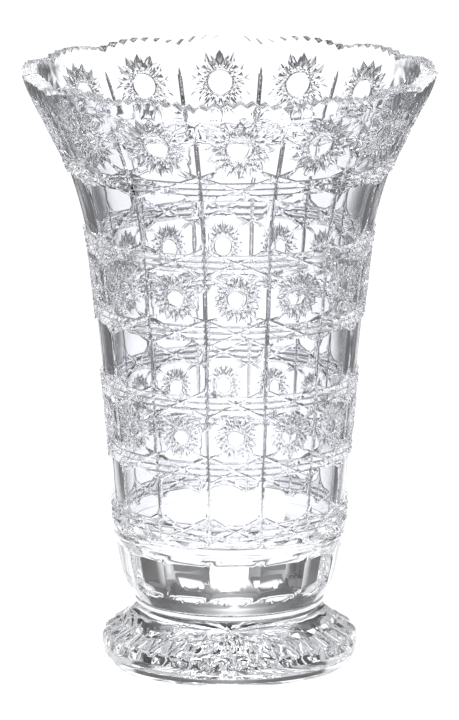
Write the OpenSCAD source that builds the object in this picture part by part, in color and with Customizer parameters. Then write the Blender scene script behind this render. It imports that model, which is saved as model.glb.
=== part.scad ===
// Footed vase in cut crystal: a flared bowl, a short clear wafer and a round foot.
// Every ring of cutting repeats once per column, and the columns are divided by upright grooves.
// The vase stands on z = 0 with its axis on Z, and a column is centred on the -Y side.

/* [Overall] */
// Height of the vase to the crest of the rim
height = 300; // [260:1:340]
// Number of cut columns round the bowl
columns = 14; // [10:1:18]
// Turn of the cutting about the vase's axis, in degrees
cutting_turn = 3; // [0:0.5:12]

/* [Bowl] */
// Radius of the crest of the rim
rim_r = 103; // [95:0.5:110]
// Radius where the straight sides end and the flare starts
waist_r = 71; // [66:0.5:76]
// Radius of the plain ledge under the cut columns
ledge_r = 58.6; // [55:0.2:62]
// Thickness of the side wall
wall = 7.5; // [6:0.1:9]
// Height of the inside floor above the table
floor_z = 60; // [56:0.5:66]
// Drop from the crest of a rim scallop to the notch beside it
scallop_drop = 5.5; // [4:0.5:9]

/* [Cutting] */
// How far the clear windows lie below the cut rows
window_recess = 1.3; // [0.6:0.1:2]
// Depth of an upright groove
groove_depth = 1.1; // [0.5:0.1:2]
// Depth of each of the three rings in a woven band
band_cut_depth = 0.9; // [0.4:0.1:1.4]
// Distance between the rings of a woven band
band_pitch = 3.3; // [2.6:0.1:3.8]
// Depth of the round polished button at the heart of a star
button_depth = 0.8; // [0.4:0.1:1.2]

/* [Wafer and foot] */
// Radius of the wafer between bowl and foot
wafer_r = 46.6; // [44:0.1:50]
// Thickness of the wafer
wafer_h = 3.6; // [2.5:0.1:5]
// Height of the foot up to the wafer
foot_h = 30; // [27:0.5:34]
// Radius of the foot's edge
foot_r = 63.8; // [60:0.2:68]
// Radius of the ring that the foot stands on
rest_r = 59.5; // [56:0.2:61]
// Height of the foot's upright edge above the table
edge_top_z = 15.5; // [14:0.5:18]
// Number of radial flutes on top of the foot
foot_flutes = 28; // [20:2:32]

/* [Hidden] */
$fn = 96;
glass = [0.84, 0.87, 0.92];

bowl_z = foot_h + wafer_h;              // height of the joint under the bowl
bowl_h = height - bowl_z;
column_a = 360 / columns;
ledge_z = bowl_z + 0.122 * bowl_h;      // underside of the plain ledge
cut_z = bowl_z + 0.142 * bowl_h;        // lower end of the cut columns
groove_top_z = bowl_z + 0.944 * bowl_h; // upper end of the upright grooves
lip_rise = 1;                           // the rim's inner edge stands this much above its outer one
outer_crest_z = height - lip_rise;

// Outline of the bowl: [height, radius] at the places that set its sweep, from the ledge up to the rim.
taper = waist_r - ledge_r;
flare = rim_r - waist_r;
sweep = [
    [ledge_z - 12, ledge_r - 0.8],
    [cut_z, ledge_r],
    [bowl_z + 0.270 * bowl_h, ledge_r + 0.17 * taper],
    [bowl_z + 0.418 * bowl_h, ledge_r + 0.45 * taper],
    [bowl_z + 0.550 * bowl_h, ledge_r + 0.72 * taper],
    [bowl_z + 0.666 * bowl_h, waist_r],
    [bowl_z + 0.756 * bowl_h, waist_r + 0.16 * flare],
    [bowl_z + 0.831 * bowl_h, waist_r + 0.37 * flare],
    [bowl_z + 0.906 * bowl_h, waist_r + 0.67 * flare],
    [bowl_z + 0.962 * bowl_h, waist_r + 0.90 * flare],
    [height, rim_r],
    [height + 12, rim_r + 3]
];

// Slope of the sweep at its point i, from the points on either side.
function slope(i) = let (a = sweep[i - 1], b = sweep[i + 1]) (b[1] - a[1]) / (b[0] - a[0]);

// Index of the stretch of the sweep that holds height z.
function stretch(z, i = 1) = (i >= len(sweep) - 3 || z < sweep[i + 1][0]) ? i : stretch(z, i + 1);

// Radius of the bowl at height z: a smooth cubic through the points of the sweep.
function bowl_r(z) =
    let (i = stretch(z), a = sweep[i], b = sweep[i + 1], h = b[0] - a[0], t = (z - a[0]) / h)
    a[1] * (1 + 2 * t) * (1 - t) * (1 - t) + h * slope(i) * t * (1 - t) * (1 - t)
    + b[1] * t * t * (3 - 2 * t) + h * slope(i + 1) * t * t * (t - 1);

// Heights of the six woven bands, from the ledge up, and of the three rows of stars between them.
band_z = [for (f = [0.169, 0.286, 0.413, 0.547, 0.682, 0.823]) bowl_z + f * bowl_h];
star_z = [(band_z[1] + band_z[2]) / 2, (band_z[3] + band_z[4]) / 2, bowl_z + 0.906 * bowl_h];
button_r = [for (z = star_z) 0.33 * bowl_r(z) * sin(column_a / 2)];

// One band in the outline: three V rings, with the shoulders on the bowl's own surface.
function band(z) = [
    for (k = [-1, 0, 1], e = [-1, 0, 1])
        let (y = z + k * band_pitch + e * band_cut_depth) [bowl_r(y) - (e == 0 ? band_cut_depth : 0), y]
];

// A clear window between two heights, set back from the cut rows.
function window(z0, z1, steps = 4) = [
    for (k = [0:steps]) let (y = z0 + (z1 - z0) * k / steps) [bowl_r(y) - window_recess, y]
];

// A plain or star-cut stretch between two heights, on the bowl's own surface.
function row(z0, z1, steps = 4) = [
    for (k = [0:steps]) let (y = z0 + (z1 - z0) * k / steps) [bowl_r(y), y]
];

band_half = 1.5 * band_pitch;
bowl_outside = concat(
    [[wafer_r, bowl_z], [wafer_r + 2.0, bowl_z + 3.2], [wafer_r + 4.6, bowl_z + 7.6],
     [ledge_r - 5.8, bowl_z + 12], [ledge_r - 4.2, bowl_z + 20], [ledge_r - 2.2, ledge_z - 2],
     [ledge_r - 1.4, ledge_z]],
    [[ledge_r, cut_z - 2]],
    band(band_z[0]),
    window(band_z[0] + band_half, band_z[1] - band_half),
    band(band_z[1]),
    row(band_z[1] + band_half, band_z[2] - band_half),
    band(band_z[2]),
    window(band_z[2] + band_half, band_z[3] - band_half),
    band(band_z[3]),
    row(band_z[3] + band_half, band_z[4] - band_half),
    band(band_z[4]),
    window(band_z[4] + band_half, band_z[5] - band_half),
    band(band_z[5]),
    row(band_z[5] + band_half, outer_crest_z, 6)
);

// Inside of the bowl: the wall follows the outside, and the floor is rounded into it.
inside_bend = 22;
bend_top_z = floor_z + inside_bend;
bend_top_r = bowl_r(bend_top_z) - wall;
bowl_inside = concat(
    [for (k = [0:8]) let (z = height - (height - bend_top_z) * k / 8) [bowl_r(z) - wall, z]],
    [for (a = [15:15:75]) [bend_top_r - inside_bend * (1 - cos(a)), bend_top_z - inside_bend * sin(a)]],
    [[bend_top_r - inside_bend, floor_z], [0, floor_z]]
);

// Places a cutter once per column, from the first boundary between columns.
module at_boundaries() {
    for (k = [0:columns - 1]) rotate([0, 0, -90 + cutting_turn + column_a * (k + 0.5)]) children();
}

// Places a cutter on the centre line of each column.
module at_columns() {
    for (k = [0:columns - 1]) rotate([0, 0, -90 + cutting_turn + column_a * k]) children();
}

// Cutter of one straight stretch of a mitre groove, between two heights on the bowl's outline.
module groove_stretch(z0, z1) {
    lean = atan((bowl_r(z1) - bowl_r(z0)) / (z1 - z0));
    bar = 12;
    translate([bowl_r(z0) - groove_depth, 0, z0])
        rotate([0, lean, 0])
            rotate([0, 0, -45])
                cube([bar, bar, (z1 - z0) / cos(lean)]);
}

// Cutter of one upright groove, straight along the side and bent in steps up the flare.
module upright_groove() {
    ends = [cut_z, band_z[4], (band_z[4] + band_z[5]) / 2, band_z[5], groove_top_z];
    for (k = [0:len(ends) - 2]) groove_stretch(ends[k], ends[k + 1]);
}

// Cutter of one rim notch: what lies above the flanks of two neighbouring scallops.
module rim_notch() {
    flank = 0.9; // how much of the half column the flank takes up
    half_w = flank * rim_r * sin(column_a / 2);
    flanks = [for (u = [-1:0.2:1]) [u * half_w, outer_crest_z - scallop_drop * pow(1 - abs(u), 2)]];
    translate([rim_r - 2.5 * wall, 0, 0])
        rotate([90, 0, 90])
            linear_extrude(height = 4 * wall)
                polygon(concat(flanks, [[half_w, height + 5], [-half_w, height + 5]]));
}

// Cutter of one round button: a ball that leaves a shallow dish of the given radius at height z.
module button_ball(z, r) {
    ball_r = (r * r + button_depth * button_depth) / (2 * button_depth);
    lean = atan((bowl_r(z + 1) - bowl_r(z - 1)) / 2);
    translate([bowl_r(z), 0, z])
        rotate([0, lean, 0])
            translate([ball_r - button_depth, 0, 0]) sphere(r = ball_r);
}

// Cutter of one wide flute on the lower bowl, leaning along the slope under the ledge.
module lower_flute() {
    flute_r = 26;
    depth = 1.3;
    tilt = 11;      // lean of the slope under the ledge, in degrees
    length = 19;
    translate([ledge_r - 4.2, 0, bowl_z + 19])
        rotate([0, tilt, 0])
            translate([flute_r - depth, 0, -length / 2]) cylinder(r = flute_r, h = length);
}

module bowl() {
    color(glass) difference() {
        rotate_extrude() polygon(concat([[0, bowl_z]], bowl_outside, bowl_inside));
        at_boundaries() upright_groove();
        at_boundaries() rim_notch();
        at_columns() lower_flute();
        for (row = [0:2]) at_columns() button_ball(star_z[row], button_r[row]);
    }
}

module neck_wafer() {
    bulge = 1;
    color(glass) rotate_extrude() union() {
        translate([0, foot_h]) square([wafer_r - bulge, wafer_h]);
        translate([wafer_r - bulge, foot_h + wafer_h / 2])
            intersection() {
                circle(r = wafer_h / 2);
                translate([0, -bulge]) square([wafer_h, 2 * bulge]);
            }
    }
}

// Cutter of one flute on top of the foot, running down the slope from the wafer to the edge.
module foot_flute() {
    flute_r = 13;
    depth = 0.8;
    drop = foot_h - edge_top_z;
    run = foot_r - wafer_r;
    translate([foot_r, 0, edge_top_z])
        rotate([0, -atan(run / drop), 0])
            translate([flute_r - depth, 0, -4]) cylinder(r = flute_r, h = 0.8 * run + 4);
}

module foot() {
    hollow_r = 48;
    hollow_depth = 2.2;
    ball_r = (hollow_r * hollow_r + hollow_depth * hollow_depth) / (2 * hollow_depth);
    color(glass) difference() {
        rotate_extrude() polygon([
            [0, 0], [rest_r, 0], [foot_r - 1, 4.6], [foot_r, 9], [foot_r - 0.6, edge_top_z],
            [wafer_r + 6.4, foot_h - 6.8], [wafer_r + 1.6, foot_h - 2.6], [wafer_r - 0.6, foot_h],
            [0, foot_h]
        ]);
        translate([0, 0, hollow_depth - ball_r]) sphere(r = ball_r);
        for (k = [0:foot_flutes - 1])
            rotate([0, 0, -90 + cutting_turn + (k + 0.5) * 360 / foot_flutes]) foot_flute();
    }
}

bowl();
neck_wafer();
foot();
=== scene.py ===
"""Footed vase in cut lead crystal, with its foot, wafer and bowl as separate closed pieces of glass.

The bowl's cutting is worked out on one flat column, in the coordinates u across (-1 to 1, from groove to
groove) and z up, as a cut depth under the bowl's outline. The column is then wrapped round the axis and
repeated. The valleys of the cuts run along the grid's edges, so they are crisp. The ridges between them are
only as fine as the grid.
"""

import math

import bmesh
import bpy
import numpy as np
from bpy.props import FloatProperty, IntProperty, PointerProperty, StringProperty
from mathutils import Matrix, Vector


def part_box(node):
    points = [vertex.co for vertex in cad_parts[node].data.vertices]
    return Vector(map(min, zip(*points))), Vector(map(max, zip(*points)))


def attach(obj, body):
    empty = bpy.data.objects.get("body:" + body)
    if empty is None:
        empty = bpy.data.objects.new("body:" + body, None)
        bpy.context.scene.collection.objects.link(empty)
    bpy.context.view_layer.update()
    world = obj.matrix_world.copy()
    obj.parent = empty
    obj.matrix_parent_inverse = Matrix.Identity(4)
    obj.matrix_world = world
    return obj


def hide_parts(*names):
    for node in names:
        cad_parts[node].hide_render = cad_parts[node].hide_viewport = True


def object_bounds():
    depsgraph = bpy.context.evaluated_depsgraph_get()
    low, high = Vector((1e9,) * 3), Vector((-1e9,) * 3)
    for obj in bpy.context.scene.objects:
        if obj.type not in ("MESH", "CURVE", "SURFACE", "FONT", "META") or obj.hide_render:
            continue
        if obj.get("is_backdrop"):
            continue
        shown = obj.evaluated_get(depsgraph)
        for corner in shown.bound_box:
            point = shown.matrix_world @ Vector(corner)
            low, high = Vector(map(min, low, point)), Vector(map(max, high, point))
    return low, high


bl_info = {
    "name": "Cut Crystal Vase",
    "version": (1, 0, 0),
    "blender": (4, 5, 0),
    "location": "View3D > Sidebar > Vase",
    "description": "Builds a footed cut crystal vase around its design frame",
    "category": "Object",
}

MM = 0.001

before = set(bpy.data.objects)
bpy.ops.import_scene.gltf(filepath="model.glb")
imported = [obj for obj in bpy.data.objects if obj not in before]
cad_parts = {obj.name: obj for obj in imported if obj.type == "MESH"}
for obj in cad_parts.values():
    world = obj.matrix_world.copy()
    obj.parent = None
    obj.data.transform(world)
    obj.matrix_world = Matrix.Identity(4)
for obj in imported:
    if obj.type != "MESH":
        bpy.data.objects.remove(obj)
CAD_LOW, CAD_HIGH = (Vector(corner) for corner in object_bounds())
BOWL_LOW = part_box("bowl")[0]
WAFER_LOW, WAFER_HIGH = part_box("neck_wafer")
FOOT_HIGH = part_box("foot")[1]


# ---------------------------------------------------------------- sizes and colours


class VaseForm(bpy.types.PropertyGroup):
    """Outline of the three pieces, in millimetres"""

    height: FloatProperty(
        name="Height", description="Crest of the rim above the table, mm", default=CAD_HIGH.z / MM
    )
    joint_z: FloatProperty(
        name="Joint", description="Height of the joint under the bowl, mm", default=BOWL_LOW.z / MM
    )
    rim_r: FloatProperty(name="Rim radius", description="Radius of the rim's crest, mm", default=103.0)
    waist_r: FloatProperty(
        name="Waist radius", description="Radius where the flare starts, mm", default=71.0
    )
    ledge_r: FloatProperty(name="Ledge radius", description="Radius of the plain ledge, mm", default=58.6)
    wall: FloatProperty(name="Wall", description="Thickness of the side wall, mm", default=7.5)
    floor_z: FloatProperty(name="Inside floor", description="Height of the inside floor, mm", default=60.0)
    wafer_r: FloatProperty(
        name="Wafer radius", description="Radius of the wafer, mm", default=WAFER_HIGH.x / MM
    )
    foot_r: FloatProperty(name="Foot radius", description="Radius of the foot's edge, mm", default=63.8)
    rest_r: FloatProperty(
        name="Rest radius", description="Radius of the ring the vase stands on, mm", default=59.5
    )
    edge_top_z: FloatProperty(
        name="Edge height", description="Top of the foot's upright edge, mm", default=15.5
    )


class VaseCutting(bpy.types.PropertyGroup):
    """The cut pattern, in millimetres and degrees"""

    columns: IntProperty(
        name="Columns", description="Cut columns round the bowl", default=14, min=8, max=20
    )
    turn: FloatProperty(name="Turn", description="Turn of the cutting about the axis, degrees", default=3.0)
    slope: FloatProperty(name="Slope", description="Rise of a mitre cut's sides, as a ratio", default=0.95)
    star_depth: FloatProperty(name="Star depth", description="Depth of a star's cuts, mm", default=1.15)
    band_depth: FloatProperty(name="Band depth", description="Depth of a band's cuts, mm", default=1.25)
    groove_depth: FloatProperty(
        name="Groove depth", description="Depth of an upright groove, mm", default=1.0
    )
    recess: FloatProperty(name="Window setback", description="Depth of the clear windows, mm", default=1.3)
    tooth_depth: FloatProperty(name="Tooth depth", description="Depth of the rim's teeth, mm", default=2.1)
    edge_drop: FloatProperty(
        name="Edge drop", description="Fall of a tooth's ridge to the outside, mm", default=0.9
    )
    arch_drop: FloatProperty(
        name="Arch drop", description="Fall of a rim scallop to its ends, mm", default=2.9
    )
    flutes: IntProperty(
        name="Foot flutes", description="Flutes on the foot, and rays under it", default=28, min=12, max=40
    )


class VaseLooks(bpy.types.PropertyGroup):
    """Glass and studio"""

    ior: FloatProperty(name="IOR", description="Refractive index of 24% lead crystal", default=1.545)
    glass_hex: StringProperty(
        name="Glass tint", description="Tint of the glass, sRGB hex", default="#F7F8FB"
    )
    floor_hex: StringProperty(
        name="Floor", description="Colour of the floor under its glow, sRGB hex", default="#5A5A5C"
    )
    # White, front and side levels set the floor's painted pool of studio light. The white level also sets the
    # world's white wall.
    white_level: FloatProperty(
        name="White level", description="Brightness of the wall and floor behind", default=1.2
    )
    front_level: FloatProperty(
        name="Front level", description="Extra brightness of the floor in front", default=1.0
    )
    side_level: FloatProperty(
        name="Floor sides", description="Brightness of the floor off to the sides", default=0.05
    )
    side_light: FloatProperty(
        name="Side lights", description="Brightness of the lights at both sides", default=0.7
    )
    top_light: FloatProperty(
        name="Top light", description="Brightness of the canopy above and behind", default=0.7
    )
    zenith_light: FloatProperty(
        name="Zenith light", description="Brightness of the lamp straight overhead", default=8.0
    )
    camera_distance: FloatProperty(name="Camera distance", description="Camera to axis, m", default=3.0)
    camera_height: FloatProperty(
        name="Camera height", description="Camera above the table, m", default=0.8168
    )


# ---------------------------------------------------------------- small helpers


def linear(hex_colour):
    """An sRGB hex colour as linear RGBA, opaque."""
    parts = [int(hex_colour[i : i + 2], 16) / 255 for i in (1, 3, 5)]
    return (*(c / 12.92 if c <= 0.04045 else ((c + 0.055) / 1.055) ** 2.4 for c in parts), 1.0)


def add_node(tree, kind, settings=None, links=None):
    """Adds a node. Settings go on its sockets or attributes, and links join its sockets to other nodes'
    outputs. A socket goes by its name, or by its number where several share a name."""
    node = tree.nodes.new(kind)
    for key, value in (settings or {}).items():
        if isinstance(key, int) or key in node.inputs:
            node.inputs[key].default_value = value
        else:
            setattr(node, key, value)
    for key, output in (links or {}).items():
        tree.links.new(output, node.inputs[key])
    return node


def fade(start, end, low, high):
    """Settings of a Map Range node that goes smoothly from low at start to high at end."""
    ends = {"From Min": start, "From Max": end, "To Min": low, "To Max": high}
    return {"interpolation_type": "SMOOTHSTEP", **ends}


def smooth(t):
    """Smoothstep: 3t^2 - 2t^3, with t held between 0 and 1."""
    t = np.clip(t, 0.0, 1.0)
    return t * t * (3 - 2 * t)


# ---------------------------------------------------------------- outline of the bowl


def sweep(form):
    """Heights and radii that set the bowl's sweep, from the ledge to the rim."""
    base = form.joint_z
    tall = form.height - base
    taper = form.waist_r - form.ledge_r
    flare = form.rim_r - form.waist_r
    share = np.array([
        0.122 - 0.045, 0.142, 0.270, 0.418, 0.550, 0.666, 0.756, 0.831, 0.906, 0.962, 1.0, 1.045,
    ])
    radius = np.concatenate([
        form.ledge_r + taper * np.array([-0.065, 0.0, 0.17, 0.45, 0.72, 1.0]),
        form.waist_r + flare * np.array([0.16, 0.37, 0.67, 0.90, 1.0]),
        [form.rim_r + 3.0],
    ])
    return base + tall * share, radius


def bowl_radius(form, z):
    """Radius of the bowl's outline at height z: a cubic through the sweep, with the slope at each point taken
    from the points on either side."""
    heights, radii = sweep(form)
    slopes = np.gradient(radii, heights)
    slopes[1:-1] = (radii[2:] - radii[:-2]) / (heights[2:] - heights[:-2])
    i = np.clip(np.searchsorted(heights, z, side="right") - 1, 1, len(heights) - 3)
    h = heights[i + 1] - heights[i]
    t = (z - heights[i]) / h
    return (
        radii[i] * (1 + 2 * t) * (1 - t) ** 2
        + h * slopes[i] * t * (1 - t) ** 2
        + radii[i + 1] * t**2 * (3 - 2 * t)
        + h * slopes[i + 1] * t**2 * (t - 1)
    )


def lean(form, z):
    """Angle of the outline from upright at height z."""
    return np.arctan(bowl_radius(form, z + 0.5) - bowl_radius(form, z - 0.5))


def ladder(form):
    """Heights of the bowl's rows: the six woven bands, and the three stars."""
    base, tall = form.joint_z, form.height - form.joint_z
    bands = base + tall * np.array([0.169, 0.286, 0.413, 0.547, 0.682, 0.823])
    stars = [(bands[1] + bands[2]) / 2, (bands[3] + bands[4]) / 2, base + 0.906 * tall]
    return bands, stars


# ---------------------------------------------------------------- one column of the bowl
# A column is a grid of rows, from the middle of the joint face up the outside, over the rim and down the
# inside to the middle of the floor. Each point is (u, radius, height), with u across from -1 to 1.
# Lengths here are in millimetres.

ACROSS = 16  # cells across a column between its two grooves
STAR_RAYS = 4 * ACROSS
BAND_HALF = 6.4  # half the height of a woven band
WINDOW_ROWS = 6  # rows of cells up a clear window
RIM_MARGIN = 9.2  # height of the plain margin and teeth above the top stars
STAR_SHARES = (0.80, 0.82, 0.86)  # radius of each row's stars, as a share of half a column
WAFER_BULGE = 1.5  # how far the wafer's rounded edge stands out
GROOVE_HALF = 1.15  # half the width of an upright groove
CORE_HALF = 0.4  # half the width of a groove's steep core
CORE_SHARE = 0.42  # depth at the edges of the core, as a share of the groove's depth
GROOVE_END = 27.0  # how far below the crest a groove starts to run out
GROOVE_FADE = 13.0  # height over which it runs out
FLUTE_STEPS = 8  # cells across one flute of the foot
HOLLOW_R = 48.0  # radius of the dished hollow under the foot
HOLLOW_DEPTH = 2.2  # depth of that hollow at its centre
MARGIN = 2  # grid points on each side of a column that belong to its grooves
WIDE = ACROSS + 1 + 2 * MARGIN
SPOTS = np.linspace(-1, 1, ACROSS + 1)


def column_u(form, cut, z):
    """u of the grid's points at height z: the valleys at -1 and 1, the edges of the grooves' steep cores
    beside them, and ACROSS + 1 points between the grooves' shoulders."""
    half = np.atleast_1d(bowl_radius(form, z) * math.pi / cut.columns)[:, None]
    inner = SPOTS * (1 - GROOVE_HALF / half)
    core = 1 - CORE_HALF / half
    ends = np.ones((len(inner), 1))
    return np.concatenate([-ends, -core, inner, core, ends], 1)


def outside_rows(form, u, z, depth):
    """Rows on the outside from heights and from depths measured square to the outline."""
    slope = lean(form, z)
    return np.stack([u, bowl_radius(form, z) - depth * np.cos(slope), z + depth * np.sin(slope)], -1)


def band_depth(form, cut, z0, v, below, above):
    """Depths of a woven band: the deepest of three level mitre cuts and two crossing diagonals. The band's
    outline is |v| = the larger of a half and |s|. Beyond it the cut rises to the neighbour's depth."""
    half = float(bowl_radius(form, z0)) * math.sin(math.pi / cut.columns)
    s = SPOTS[None, :]
    v = v[:, None]
    edge = np.maximum(0.5, np.abs(s))
    slant = half / math.hypot(half, BAND_HALF)
    level = np.min([np.abs(v - k) for k in (-0.5, 0.0, 0.5)], axis=0) * BAND_HALF + 0 * s
    diagonal = np.abs(np.abs(v) - np.abs(s)) * BAND_HALF * slant
    vee = np.minimum(level, diagonal)
    inside = np.clip(cut.band_depth - cut.slope * vee, 0, None)
    outer = np.where(v > 0, above, below) + 0 * s
    step = np.where(outer > 0, outer + 0.5, cut.band_depth)
    beyond = np.maximum(step - cut.slope * vee, outer)
    value = np.where(np.abs(v) > edge + 1e-6, beyond, inside)
    return np.where(np.isclose(np.abs(v), edge), np.maximum(step, inside), value)


def cut_rows(form, cut):
    """The cut rows of a column, with the cells to split along their other diagonal, and the star cells."""
    bands, stars = ladder(form)
    v = np.linspace(-1, 1, ACROSS + 1)
    middle = (v[:-1, None] + v[1:, None]) / 2 * (SPOTS[:-1] + SPOTS[1:]) / 2
    turned = np.pad(middle < 0, ((0, 0), (MARGIN, MARGIN)))
    heights, depths, valleys, flips, cells = [], [], [], [], []
    count = 0
    for i, z0 in enumerate(bands):
        below, above = (0.0, cut.recess) if i % 2 == 0 else (cut.recess, 0.0)
        heights.append(z0 + v * BAND_HALF)
        depths.append(band_depth(form, cut, z0, v, below, above))
        valleys.append(below + (above - below) * smooth((v + 1) / 2))
        flips.append(turned)
        count += len(v)
        low = z0 + BAND_HALF
        high = bands[i + 1] - BAND_HALF if i + 1 < len(bands) else form.height - RIM_MARGIN
        steps = WINDOW_ROWS if i % 2 == 0 else ACROSS
        if i % 2 == 1:
            cells.append((count - 1, count - 1 + steps, stars[i // 2]))
        last = i + 1 == len(bands)
        inner = np.linspace(low, high, steps + 1)[1 : None if last else -1]
        heights.append(inner)
        depths.append(np.full((len(inner), ACROSS + 1), above))
        valleys.append(np.full(len(inner), above))
        flips.append(np.zeros((steps, WIDE - 1), bool))
        count += len(inner)
    z = np.concatenate(heights)
    run_out = 1 - smooth((z - form.height + GROOVE_END) / GROOVE_FADE)
    ground = np.concatenate(valleys)[:, None]
    deep = cut.groove_depth * run_out[:, None]
    core = ground + CORE_SHARE * deep
    depth = np.concatenate([ground + deep, core, np.concatenate(depths), core, ground + deep], 1)
    z_grid = np.repeat(z[:, None], WIDE, 1)
    return outside_rows(form, column_u(form, cut, z), z_grid, depth), np.concatenate(flips), cells


def star_rings(form, cut, z0, radius):
    """Rings of the sixteen-pointed star round its polished button. Each chord is a mitre cut that misses the
    centre by cos(6/16 of a half turn) of the star's radius, so chords cross on the 32 rays of the star, at
    that distance over the cosine of k/16 of a half turn. Between crossings stand small pyramids, with their
    tips at the harmonic mean of the crossings on either side."""
    points, reach = 16, 6
    miss = math.cos(math.pi * reach / points)
    cross = [miss / math.cos(math.pi * k / points) for k in range(reach + 1)]

    def valley(k):
        """Depth where chords cross for the k-th time: they run out at the star's points."""
        return cut.star_depth * (1 - ((cross[k] - miss) / (1 - miss)) ** 1.6)

    def peak(k, full=1.0):
        """Radius and depth of the pyramid between crossings k and k + 2, polished down to a share of its
        height."""
        at = 2 / (1 / cross[k] + 1 / cross[k + 2])
        rise = full * cut.slope * miss * (at / cross[k] - 1) * radius
        return at, max(0.0, (valley(k) + valley(k + 2)) / 2 - rise)

    half = float(bowl_radius(form, z0)) * math.pi / cut.columns
    run_out = cross[5] * (1 + valley(5) / (cut.slope * miss * radius))
    # The round button's rings: radius as a share of the star's, and depth as a share of that of its cuts.
    dish = [(0.0, 1.16), (0.12, 1.155), (0.24, 1.14), (0.33, 1.12), (0.352, 1.08), (0.392, 0.30)]
    on_point = [(cross[2], valley(2)), peak(2, 0.5), (cross[4], valley(4)), peak(4), (1.0, 0.0)]
    between = [peak(1, 0.3), (cross[3], valley(3)), peak(3), (cross[5], valley(5)), (run_out, 0.0)]
    turn = np.arange(STAR_RAYS) * 2 * math.pi / STAR_RAYS
    quarter = np.arange(STAR_RAYS) % 4
    dished = [
        np.stack([r * np.cos(turn), r * np.sin(turn), np.full(STAR_RAYS, d * cut.star_depth)], 1)
        for r, d in dish
    ]
    cuts = []
    for (r_point, d_point), (r_gap, d_gap) in zip(on_point, between):
        r = np.where(quarter == 0, r_point, r_gap)
        d = np.where(quarter == 0, d_point, d_gap)
        ring = np.stack([r * np.cos(turn), r * np.sin(turn), d], 1)
        halfway = (np.roll(ring, 1, 0) + np.roll(ring, -1, 0)) / 2
        cuts.append(np.where((quarter % 2 == 1)[:, None], halfway, ring))
    rings = np.array(dished + cuts)
    u = rings[..., 0] * radius / half
    z = z0 + rings[..., 1] * radius * math.cos(float(lean(form, z0)))
    return outside_rows(form, u, z, rings[..., 2]), len(dished)


def star_border(row_low, row_high, across_count):
    """Grid indices round a star cell, from the middle of its right side anticlockwise."""
    rows = np.arange(row_low, row_high + 1) * across_count
    first, last = MARGIN, across_count - 1 - MARGIN
    right = rows[:-1] + last
    top = rows[-1] + np.arange(last, first, -1)
    left = rows[:0:-1] + first
    bottom = rows[0] + np.arange(first, last)
    return np.roll(np.concatenate([right, top, left, bottom]), -(ACROSS // 2))


def star_faces(ring_index, first_cut):
    """Triangles between the star's rings, split so that every chord follows an edge."""
    a = ring_index[:-1]
    c = ring_index[1:]
    b, d = np.roll(a, -1, 1), np.roll(c, -1, 1)
    ring = np.arange(len(a))[:, None] - first_cut
    quarter = np.arange(STAR_RAYS)[None, :] % 4
    keep = (ring < 0) | ((ring % 2 == 0) == (quarter < 2))
    near = np.where(keep[..., None], np.stack([a, c, d], -1), np.stack([a, c, b], -1))
    far = np.where(keep[..., None], np.stack([a, d, b], -1), np.stack([b, c, d], -1))
    return np.concatenate([near.reshape(-1, 3), far.reshape(-1, 3)])


def joint_radius(form):
    """Radius of the flat faces along which the pieces are fused."""
    return form.wafer_r - WAFER_BULGE


def lower_rows(form, cut, u_top):
    """From the middle of the joint face to the plain ledge. The side has wide flutes: each is a round cut,
    centred on its column, that deepens downwards from the ledge, so that its upper end is an arch."""
    base = form.joint_z
    ledge_z = base + 0.122 * (form.height - base)
    profile_z = base + np.array([0.0, 2.4, 5.0, 7.6, 12.0, 20.0, 28.0, 32.5])
    profile_r = form.ledge_r - np.array([11.6, 10.0, 8.4, 6.9, 5.0, 3.4, 1.9, 0.9])
    z = base + np.array([
        0, 1.2, 2.4, 3.7, 5.0, 6.0, 7.2, 8.6, 10.4, 13, 16, 19, 22, 24.5, 26.4, 28, 29.3, 30.5, 31.6, 32.4,
    ])
    radius = np.interp(z, profile_z, profile_r)
    for _ in range(2):
        radius[1:-1] = np.convolve(radius, [0.25, 0.5, 0.25], "valid")
    u = np.repeat(u_top[None, :], len(z), 0)
    half = radius[:, None] * math.pi / cut.columns
    flute_depth, wheel_r, run_in = 1.9, 42.0, 6.0
    open_up = flute_depth * smooth((ledge_z - 0.4 - z) / run_in) * smooth((z - base - 5.0) / run_in)
    depth = np.clip(open_up[:, None] - (u * half) ** 2 / (2 * wheel_r), 0, None)
    side = np.stack([u, radius[:, None] - depth, np.repeat(z[:, None], u.shape[1], 1)], -1)
    plain_z = ledge_z + np.array([0.2, 1.0, 2.4, 4.6])
    plain_r = form.ledge_r - np.array([0.55, 0.2, 0.05, 0.0])
    ledge = ring_rows(u_top, plain_r, plain_z)
    face = ring_rows(u_top, joint_radius(form) * np.array([0.0, 0.5, 1.0]), np.full(3, base))
    return np.concatenate([face, side, ledge])


def ring_rows(u, radii, heights):
    """Plain rows: one radius and one height each, at the same u."""
    shape = (len(radii), len(u))
    return np.stack([
        np.broadcast_to(u, shape), np.broadcast_to(np.asarray(radii)[:, None], shape),
        np.broadcast_to(np.asarray(heights)[:, None], shape),
    ], -1)


def rim_line(form, cut, u):
    """Height of the toothed rim at u: a shallow arch with seven straight-sided teeth, whose last valley falls
    at the column's ends."""
    phase = np.abs(u) * 3.5
    return form.height - cut.arch_drop * u**2 - 2 * cut.tooth_depth * np.abs(phase - np.round(phase))


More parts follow.
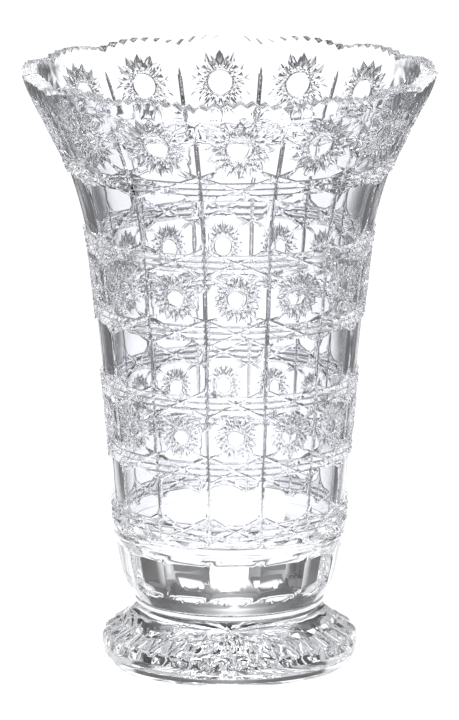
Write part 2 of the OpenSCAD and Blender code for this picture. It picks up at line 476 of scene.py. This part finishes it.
def upper_rows(form, cut, u_low, z_start):
    """Plain margin under the rim, the teeth across the wall, and the smooth inside down to the middle of its
    floor."""
    right = np.sort(np.concatenate([np.arange(8) / 7, [0.90, 0.94, 0.97]]))
    u_rim = np.concatenate([-right[:0:-1], right])
    top = rim_line(form, cut, u_rim)
    bevel, inner_drop = 0.3, 0.6
    smooth_top = form.height - 14.0
    rows = []
    for t in (0.25, 0.5, 0.75, 0.9):
        u = u_low * (1 - t) + u_rim * t
        z = z_start * (1 - t) + (top - cut.edge_drop) * t
        rows.append(outside_rows(form, u, z, np.zeros(len(u))))
    outer = bowl_radius(form, top - cut.edge_drop)
    for back, drop in ((0.0, 1.0), (0.25, 0.75), (0.62, 0.25), (1.0, 0.0)):
        rows.append(np.stack([u_rim, outer - back * (form.wall - bevel), top - drop * cut.edge_drop], -1))
    for t in (0.0, 0.12, 0.3, 0.55, 0.8):
        z = (top - inner_drop) * (1 - t) + smooth_top * t
        rows.append(np.stack([u_rim, bowl_radius(form, z) - form.wall, z], -1))
    bend = 22.0
    bend_z = form.floor_z + bend
    z = np.linspace(smooth_top, bend_z, 20)
    even = np.linspace(-1, 1, len(u_rim))
    wall = ring_rows(even, bowl_radius(form, z) - form.wall, z)
    turn = np.radians(np.linspace(10, 90, 9))
    bend_r = wall[-1, 0, 1]
    curve = ring_rows(even, bend_r - bend * (1 - np.cos(turn)), bend_z - bend * np.sin(turn))
    bottom = ring_rows(even, (bend_r - bend) * np.array([0.6, 0.25, 0.0]), np.full(3, form.floor_z))
    return np.concatenate([np.array(rows), wall, curve, bottom])


def bowl_arrays(form, cut):
    """Vertices in millimetres and triangles of the whole bowl: one column, wrapped and repeated."""
    rows, flips, cells = cut_rows(form, cut)
    low = lower_rows(form, cut, rows[0, :, 0])
    high = upper_rows(form, cut, rows[-1, :, 0], form.height - RIM_MARGIN)
    grid = np.concatenate([low, rows, high])
    tall, wide = grid.shape[:2]
    flip = np.zeros((tall - 1, wide - 1), bool)
    flip[len(low) : len(low) + len(flips)] = flips
    cell_used = np.ones((tall - 1, wide - 1), bool)
    for start, stop, _ in cells:
        cell_used[len(low) + start : len(low) + stop, MARGIN:-MARGIN] = False
    corner = np.arange(tall - 1)[:, None] * wide + np.arange(wide - 1)[None, :]
    a = corner[cell_used]
    b, c, d = a + 1, a + wide, a + wide + 1
    turned = flip[cell_used][:, None]
    faces = [
        np.where(turned, np.stack([a, b, c], 1), np.stack([a, b, d], 1)),
        np.where(turned, np.stack([b, d, c], 1), np.stack([a, d, c], 1)),
    ]
    points = [grid.reshape(-1, 3)]
    count = tall * wide
    for share, (start, stop, z0) in zip(STAR_SHARES, cells):
        half = float(bowl_radius(form, z0)) * math.sin(math.pi / cut.columns)
        rings, first_cut = star_rings(form, cut, z0, share * half)
        inner = count + np.arange(rings[..., 0].size).reshape(rings.shape[:2])
        border = star_border(len(low) + start, len(low) + stop, wide)
        faces.append(star_faces(np.concatenate([inner, border[None, :]]), first_cut))
        points.append(rings.reshape(-1, 3))
        count += inner.size
    points, faces = np.concatenate(points), np.concatenate(faces)
    used, faces = np.unique(faces, return_inverse=True)
    points, faces = points[used], faces.reshape(-1, 3)
    column = np.arange(cut.columns)[:, None]
    angle = math.radians(cut.turn) + (column + points[None, :, 0] / 2) * 2 * math.pi / cut.columns
    radius = points[None, :, 1]
    height = np.broadcast_to(points[None, :, 2], angle.shape)
    verts = np.stack([radius * np.sin(angle), -radius * np.cos(angle), height], -1)
    faces = faces[None] + column[..., None] * len(points)
    return verts.reshape(-1, 3), faces.reshape(-1, 3)


def foot_rows(form, cut):
    """Rows of the foot, from the middle of its joint face over the edge to the middle of its underside. The
    flutes are round cuts down the slope, with arched upper ends, that run out through the edge. The underside
    is a shallow dish, with a star of straight radial cuts that run out towards the edge and the centre."""
    count = cut.flutes * FLUTE_STEPS
    turn = np.arange(count) * 2 * math.pi / count
    # Position across a flute or a ray: -1 and 1 at the arrises, 0 in the middle.
    cell = (np.arange(count) % FLUTE_STEPS) / (FLUTE_STEPS / 2) - 1
    top = FOOT_HIGH.z / MM
    neck = joint_radius(form)
    edge_r, edge_z = form.foot_r, form.edge_top_z
    profile = [
        (0.0, top), (neck * 0.5, top), (neck, top), (neck + 0.7, top - 1.0), (neck + 2.0, top - 2.8),
        (neck + 4.0, top - 4.9), (neck + 6.4, top - 6.9), (neck + 9.0, top - 8.8), (neck + 12.0, top - 10.8),
        (neck + 15.0, top - 12.7), (edge_r - 1.6, edge_z + 0.9), (edge_r - 0.7, edge_z - 0.1),
        (edge_r - 0.2, edge_z - 1.6), (edge_r, 10.0), (edge_r - 0.3, 7.2), (edge_r - 0.9, 5.0),
        (edge_r - 2.0, 2.6), (form.rest_r + 0.9, 0.8), (form.rest_r, 0.0), (54.0, 0.0),
    ]
    rows = lathe_rows(profile, count)
    radius = np.hypot(rows[..., 0], rows[..., 1])
    height = rows[..., 2]
    flute_depth, wheel_r = 1.7, 24.0
    grow = smooth((radius - neck - 5.0) / 4.5) * smooth((height - edge_z + 6.0) / 6.0)
    half = radius * math.pi / cut.flutes
    depth = np.clip(flute_depth * grow - (cell[None, :] * half) ** 2 / (2 * wheel_r), 0, None)
    slope = math.atan2(top - edge_z, edge_r - neck)
    scale = 1 - depth * math.sin(slope) / np.maximum(radius, 1e-6)
    drop = depth * math.cos(slope) * (radius > neck)
    rows = np.stack([rows[..., 0] * scale, rows[..., 1] * scale, height - drop], -1)
    under = []
    for r in (HOLLOW_R, 44.0, 40.0, 36.0, 32.0, 26.0, 20.0, 14.0, 7.0, 0.0):
        ray_depth = smooth((27.0 - r) / 8.0) * smooth(r / 12.0)
        lift = HOLLOW_DEPTH * (1 - (r / HOLLOW_R) ** 2) + ray_depth * (1 - np.abs(cell))
        under.append(np.stack([r * np.cos(turn), r * np.sin(turn), lift], 1))
    x, y, z = np.moveaxis(np.concatenate([rows, np.array(under)]), -1, 0)
    c, s = math.cos(math.radians(cut.turn)), math.sin(math.radians(cut.turn))
    return np.stack([x * c - y * s, x * s + y * c, z], -1)


# ---------------------------------------------------------------- meshes


def mesh_object(name, verts, faces, slots, sharp_deg, join_test=None):
    """A closed mesh object from arrays in millimetres. Doubles are merged, normals face outwards, edges
    sharper than sharp_deg are crisp, and faces for which join_test is true take the second material."""
    mesh = bpy.data.meshes.new(name)
    mesh.vertices.add(len(verts))
    mesh.vertices.foreach_set("co", (verts * MM).astype(np.float32).ravel())
    mesh.loops.add(faces.size)
    mesh.loops.foreach_set("vertex_index", faces.ravel().astype(np.int32))
    mesh.polygons.add(len(faces))
    mesh.polygons.foreach_set("loop_start", np.arange(0, faces.size, 3, dtype=np.int32))
    mesh.update(calc_edges=True)
    work = bmesh.new()
    work.from_mesh(mesh)
    bmesh.ops.remove_doubles(work, verts=work.verts, dist=0.004 * MM)
    bmesh.ops.dissolve_degenerate(work, edges=work.edges, dist=0.002 * MM)
    open_edges = [e for e in work.edges if not e.is_manifold]
    if open_edges:
        spots = sorted({(round(e.verts[0].co.z / MM, 1)) for e in open_edges})[:12]
        raise RuntimeError(f"{name}: {len(open_edges)} open edges, at heights {spots} mm")
    bmesh.ops.recalc_face_normals(work, faces=work.faces)
    work.to_mesh(mesh)
    work.free()
    for material in slots:
        mesh.materials.append(material)
    mesh.shade_smooth()
    mesh.set_sharp_from_angle(angle=math.radians(sharp_deg))
    if join_test is not None:
        centres = np.zeros(len(mesh.polygons) * 3)
        normals = np.zeros(len(mesh.polygons) * 3)
        mesh.polygons.foreach_get("center", centres)
        mesh.polygons.foreach_get("normal", normals)
        marks = join_test(centres.reshape(-1, 3) / MM, normals.reshape(-1, 3)).astype(np.int32)
        mesh.polygons.foreach_set("material_index", marks)
    ob = bpy.data.objects.new(name, mesh)
    bpy.context.scene.collection.objects.link(ob)
    return ob


def lathe_rows(profile, count):
    """Rows of a full turn round the axis: each profile point (radius, height) at count angles."""
    turn = np.arange(count) * 2 * math.pi / count
    r = np.array(profile)[:, 0][:, None]
    z = np.array(profile)[:, 1][:, None]
    return np.stack([r * np.cos(turn), r * np.sin(turn), np.broadcast_to(z, (len(profile), count))], -1)


def ring_faces(rows, count):
    """Triangles of a closed ring grid."""
    r, c = np.meshgrid(np.arange(rows - 1), np.arange(count), indexing="ij")
    a = (r * count + c).ravel()
    b = (r * count + (c + 1) % count).ravel()
    return np.concatenate([np.stack([a, b, b + count], 1), np.stack([a, b + count, a + count], 1)])


# ---------------------------------------------------------------- materials


def crystal_material(looks):
    """Cut lead crystal, acid polished: clear and colourless, very smooth, with a faint waviness from
    polishing that breaks up the reflections of the studio."""
    material = bpy.data.materials.new("cut lead crystal, polished")
    material.use_nodes = True
    tree = material.node_tree
    tree.nodes.clear()
    wave_length, wave_height = 9.0 * MM, 0.06 * MM
    place = add_node(tree, "ShaderNodeTexCoord")
    wave = add_node(
        tree, "ShaderNodeTexNoise", {"Scale": 1 / wave_length, "Detail": 1.0},
        {"Vector": place.outputs["Object"]},
    )
    bump = add_node(
        tree, "ShaderNodeBump", {"Strength": 0.25, "Distance": wave_height}, {"Height": wave.outputs["Fac"]}
    )
    glass = add_node(
        tree,
        "ShaderNodeBsdfPrincipled",
        {
            "Base Color": linear(looks.glass_hex),
            "Roughness": 0.0,
            "IOR": looks.ior,
            "Transmission Weight": 1.0,
        },
        {"Normal": bump.outputs["Normal"]},
    )
    add_node(tree, "ShaderNodeOutputMaterial", links={"Surface": glass.outputs["BSDF"]})
    return material


def joint_material():
    """Fused joint between two pieces of hot glass: light passes it unbent, so it can't be seen."""
    material = bpy.data.materials.new("fused joint, clear")
    material.use_nodes = True
    tree = material.node_tree
    tree.nodes.clear()
    clear = add_node(tree, "ShaderNodeBsdfPrincipled", {"Alpha": 0.0, "Roughness": 0.0, "IOR": 1.0})
    add_node(tree, "ShaderNodeOutputMaterial", links={"Surface": clear.outputs["BSDF"]})
    return material


def white_to_camera(tree, level):
    """The level that the glass refracts, replaced by plain white where the camera sees the stage directly."""
    ray = add_node(tree, "ShaderNodeLightPath")
    shown = add_node(
        tree, "ShaderNodeMix", {"data_type": "FLOAT", 3: 1.0}, {0: ray.outputs["Is Camera Ray"], 2: level}
    )
    return shown.outputs[0]


def shared_material(key, make):
    """The material with this name, made once."""
    return bpy.data.materials.get(key) or make()


def glass_slots(looks):
    """The two material slots of a piece: its glass, and its fused joint faces."""
    return [
        shared_material("cut lead crystal, polished", lambda: crystal_material(looks)),
        shared_material("fused joint, clear", joint_material),
    ]


def hand_over(ob, node):
    """The piece stands for its design node, whose part is hidden, and rides on the single body."""
    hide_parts(node)
    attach(ob, "root")


# ---------------------------------------------------------------- operators


class VASE_OT_bowl(bpy.types.Operator):
    """The flared bowl: cut columns, toothed rim, smooth inside and fluted lower end"""

    bl_idname = "vase.bowl"
    bl_label = "Bowl"

    def execute(self, context):
        form, cut, looks = context.scene.vase_form, context.scene.vase_cutting, context.scene.vase_looks
        verts, faces = bowl_arrays(form, cut)
        joint_r = joint_radius(form)
        ob = mesh_object(
            "crystal_bowl", verts, faces, glass_slots(looks), 13.0,
            lambda c, n: (np.abs(c[:, 2] - form.joint_z) < 0.01) & (np.hypot(c[:, 0], c[:, 1]) < joint_r),
        )
        hand_over(ob, "bowl")
        return {"FINISHED"}


class VASE_OT_wafer(bpy.types.Operator):
    """The clear wafer between bowl and foot"""

    bl_idname = "vase.wafer"
    bl_label = "Wafer"

    def execute(self, context):
        form, cut, looks = context.scene.vase_form, context.scene.vase_cutting, context.scene.vase_looks
        low, high = WAFER_LOW.z / MM, WAFER_HIGH.z / MM
        middle, half = (low + high) / 2, (high - low) / 2
        core_r = joint_radius(form)
        profile = [(0.0, high), (form.wafer_r * 0.5, high), (core_r, high)]
        for a in np.radians(np.linspace(75, -75, 11)):
            profile.append((core_r + WAFER_BULGE * math.cos(a), middle + half * math.sin(a)))
        profile += [(core_r, low), (form.wafer_r * 0.5, low), (0.0, low)]
        count = cut.flutes * FLUTE_STEPS
        rows = lathe_rows(profile, count)
        ob = mesh_object(
            "crystal_wafer", rows.reshape(-1, 3), ring_faces(len(profile), count), glass_slots(looks), 30.0,
            lambda c, n: np.abs(n[:, 2]) > 0.999,
        )
        hand_over(ob, "neck_wafer")
        return {"FINISHED"}


class VASE_OT_foot(bpy.types.Operator):
    """The round foot: radial flutes on top, a thick edge and a star cut underneath"""

    bl_idname = "vase.foot"
    bl_label = "Foot"

    def execute(self, context):
        form, cut, looks = context.scene.vase_form, context.scene.vase_cutting, context.scene.vase_looks
        top = FOOT_HIGH.z / MM
        rows = foot_rows(form, cut)
        ob = mesh_object(
            "crystal_foot", rows.reshape(-1, 3), ring_faces(*rows.shape[:2]), glass_slots(looks), 9.0,
            lambda c, n: (np.abs(c[:, 2] - top) < 0.01) & (np.abs(n[:, 2]) > 0.99),
        )
        hand_over(ob, "foot")
        return {"FINISHED"}


class VASE_OT_stage(bpy.types.Operator):
    """Floor and background that show white to the camera, the darker studio that the glass refracts, and the
    camera"""

    bl_idname = "vase.stage"
    bl_label = "Stage"

    def execute(self, context):
        looks = context.scene.vase_looks
        scene = context.scene
        self.floor(looks)
        self.world(scene, looks)
        self.camera(scene, looks)
        scene.view_settings.view_transform = "Standard"
        scene.cycles.max_bounces = 40
        scene.cycles.transmission_bounces = 40
        scene.cycles.glossy_bounces = 24
        scene.cycles.transparent_max_bounces = 40
        scene.cycles.sample_clamp_indirect = 6.0
        return {"FINISHED"}

    def floor(self, looks):
        """A grey table with a painted glow, a painted pool of studio light that falls on it: bright along the
        line of sight, brighter still in front of the vase, and dim off to the sides. The camera itself sees
        it plain white."""
        side, gap = 10.0, 0.4 * MM
        mesh = bpy.data.meshes.new("studio_floor")
        corners = [(-side, -side, 0), (side, -side, 0), (side, side, 0), (-side, side, 0)]
        mesh.from_pydata(corners, [], [(0, 1, 2, 3)])
        floor = bpy.data.objects.new("studio_floor", mesh)
        floor.location.z = -gap
        bpy.context.scene.collection.objects.link(floor)
        # The table's glow is painted light: a pool of studio light painted on it by emission, not a lamp.
        material = bpy.data.materials.new("grey table, painted studio glow")
        material.use_nodes = True
        tree = material.node_tree
        tree.nodes.clear()
        place = add_node(tree, "ShaderNodeTexCoord")
        axes = add_node(tree, "ShaderNodeSeparateXYZ", links={"Vector": place.outputs["Object"]})
        across, away = (
            add_node(tree, "ShaderNodeMath", {"operation": "ABSOLUTE"}, {0: axes.outputs[axis]}).outputs[0]
            for axis in "XY"
        )
        # The painted pool of light, a bright strip, widens with distance.
        off = add_node(tree, "ShaderNodeMath", {"operation": "MULTIPLY_ADD", 1: -0.06}, {0: away, 2: across})
        strip = add_node(
            tree, "ShaderNodeMapRange", fade(0.11, 0.25, looks.white_level, looks.side_level),
            {"Value": off.outputs[0]},
        )
        # Painted light: extra light painted on the floor in front of the vase.
        front = add_node(
            tree, "ShaderNodeMapRange", fade(-0.50, -0.16, looks.front_level, 0.0),
            {"Value": axes.outputs["Y"]},
        )
        level = add_node(
            tree, "ShaderNodeMath", {"operation": "ADD"}, {0: strip.outputs[0], 1: front.outputs[0]}
        )
        paper = add_node(tree, "ShaderNodeBsdfDiffuse", {"Color": linear(looks.floor_hex)})
        # This emission paints the studio light that falls on the table.
        glow = add_node(
            tree, "ShaderNodeEmission", {"Color": (1, 1, 1, 1)},
            {"Strength": white_to_camera(tree, level.outputs[0])},
        )
        both = add_node(tree, "ShaderNodeAddShader", links={0: paper.outputs[0], 1: glow.outputs[0]})
        add_node(tree, "ShaderNodeOutputMaterial", links={"Surface": both.outputs[0]})
        mesh.materials.append(material)
        floor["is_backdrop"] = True

    def world(self, scene, looks):
        """A white wall behind and in front, in a room that gets darker away from them, with soft lights at
        both sides, a canopy above and behind, and a lamp straight overhead. The camera itself sees it plain
        white."""
        world = bpy.data.worlds.new("soft white studio")
        world.use_nodes = True
        scene.world = world
        tree = world.node_tree
        tree.nodes.clear()
        place = add_node(tree, "ShaderNodeTexCoord")
        axes = add_node(tree, "ShaderNodeSeparateXYZ", links={"Vector": place.outputs["Generated"]})
        side, along = (
            add_node(tree, "ShaderNodeMath", {"operation": "ABSOLUTE"}, {0: axes.outputs[axis]}).outputs[0]
            for axis in "XY"
        )
        ramp = add_node(tree, "ShaderNodeValToRGB", links={"Fac": along})
        stops = [(0.0, 0.015), (0.60, 0.02), (0.86, 0.04), (0.945, 0.12), (0.978, 0.40), (0.991, 1.0)]
        elements = ramp.color_ramp.elements
        while len(elements) < len(stops):
            elements.new(0.5)
        for element, (spot, grey) in zip(elements, stops):
            element.position = spot
            element.color = (grey, grey, grey, 1)
        # The side lights and the canopy are each the product of two fades.
        side_start, side_stop, canopy_height, canopy_back, zenith = (
            add_node(tree, "ShaderNodeMapRange", settings, {"Value": source}).outputs[0]
            for source, settings in (
                (side, fade(0.60, 0.66, 0.0, looks.side_light)),
                (side, fade(0.86, 0.92, 1.0, 0.2)),
                (axes.outputs["Z"], fade(0.50, 0.66, 0.0, looks.top_light)),
                (axes.outputs["Y"], fade(-0.35, 0.0, 0.0, 1.0)),
                (axes.outputs["Z"], fade(0.94, 0.975, 0.0, looks.zenith_light)),
            )
        )
        level = add_node(
            tree, "ShaderNodeMath", {"operation": "MULTIPLY", 1: looks.white_level},
            {0: ramp.outputs["Color"]},
        )
        level = add_node(tree, "ShaderNodeMath", {"operation": "ADD"}, {0: level.outputs[0], 1: zenith})
        for start, stop in ((side_start, side_stop), (canopy_height, canopy_back)):
            level = add_node(
                tree, "ShaderNodeMath", {"operation": "MULTIPLY_ADD"},
                {0: start, 1: stop, 2: level.outputs[0]},
            )
        light = add_node(
            tree, "ShaderNodeBackground", {"Color": (1, 1, 1, 1)},
            {"Strength": white_to_camera(tree, level.outputs[0])},
        )
        add_node(tree, "ShaderNodeOutputWorld", links={"Surface": light.outputs[0]})

    def camera(self, scene, looks):
        """A long lens, looking slightly down: about 14 vase widths away."""
        data = bpy.data.cameras.new("studio_camera")
        camera = bpy.data.objects.new("studio_camera", data)
        scene.collection.objects.link(camera)
        scene.camera = camera
        tilt, sensor, lens = 0.218, 36.0, 485.7
        camera.location = (0.0, -looks.camera_distance, looks.camera_height)
        camera.rotation_euler = (math.pi / 2 - tilt, 0.0, 0.0)
        data.sensor_fit = "HORIZONTAL"
        data.sensor_width = sensor
        data.lens = lens
        data.clip_end = 100.0


class VASE_PT_sidebar(bpy.types.Panel):
    """Lists the vase's pieces"""

    bl_label = "Cut Crystal Vase"
    bl_idname = "VASE_PT_sidebar"
    bl_space_type = "VIEW_3D"
    bl_region_type = "UI"
    bl_category = "Vase"

    def draw(self, context):
        for group in (context.scene.vase_form, context.scene.vase_cutting, context.scene.vase_looks):
            box = self.layout.box()
            for name in group.__annotations__:
                box.prop(group, name)
        for operator in OPERATORS:
            self.layout.operator(operator.bl_idname)


OPERATORS = (VASE_OT_stage, VASE_OT_bowl, VASE_OT_wafer, VASE_OT_foot)
CLASSES = (VaseForm, VaseCutting, VaseLooks, *OPERATORS, VASE_PT_sidebar)


def register():
    for cls in CLASSES:
        bpy.utils.register_class(cls)
    bpy.types.Scene.vase_form = PointerProperty(type=VaseForm)
    bpy.types.Scene.vase_cutting = PointerProperty(type=VaseCutting)
    bpy.types.Scene.vase_looks = PointerProperty(type=VaseLooks)


def unregister():
    del bpy.types.Scene.vase_looks
    del bpy.types.Scene.vase_cutting
    del bpy.types.Scene.vase_form
    for cls in reversed(CLASSES):
        bpy.utils.unregister_class(cls)


def main():
    """Builds the stage and the pieces."""
    register()
    bpy.ops.vase.stage()
    bpy.ops.vase.bowl()
    bpy.ops.vase.wafer()
    bpy.ops.vase.foot()


if __name__ == "__main__":
    main()
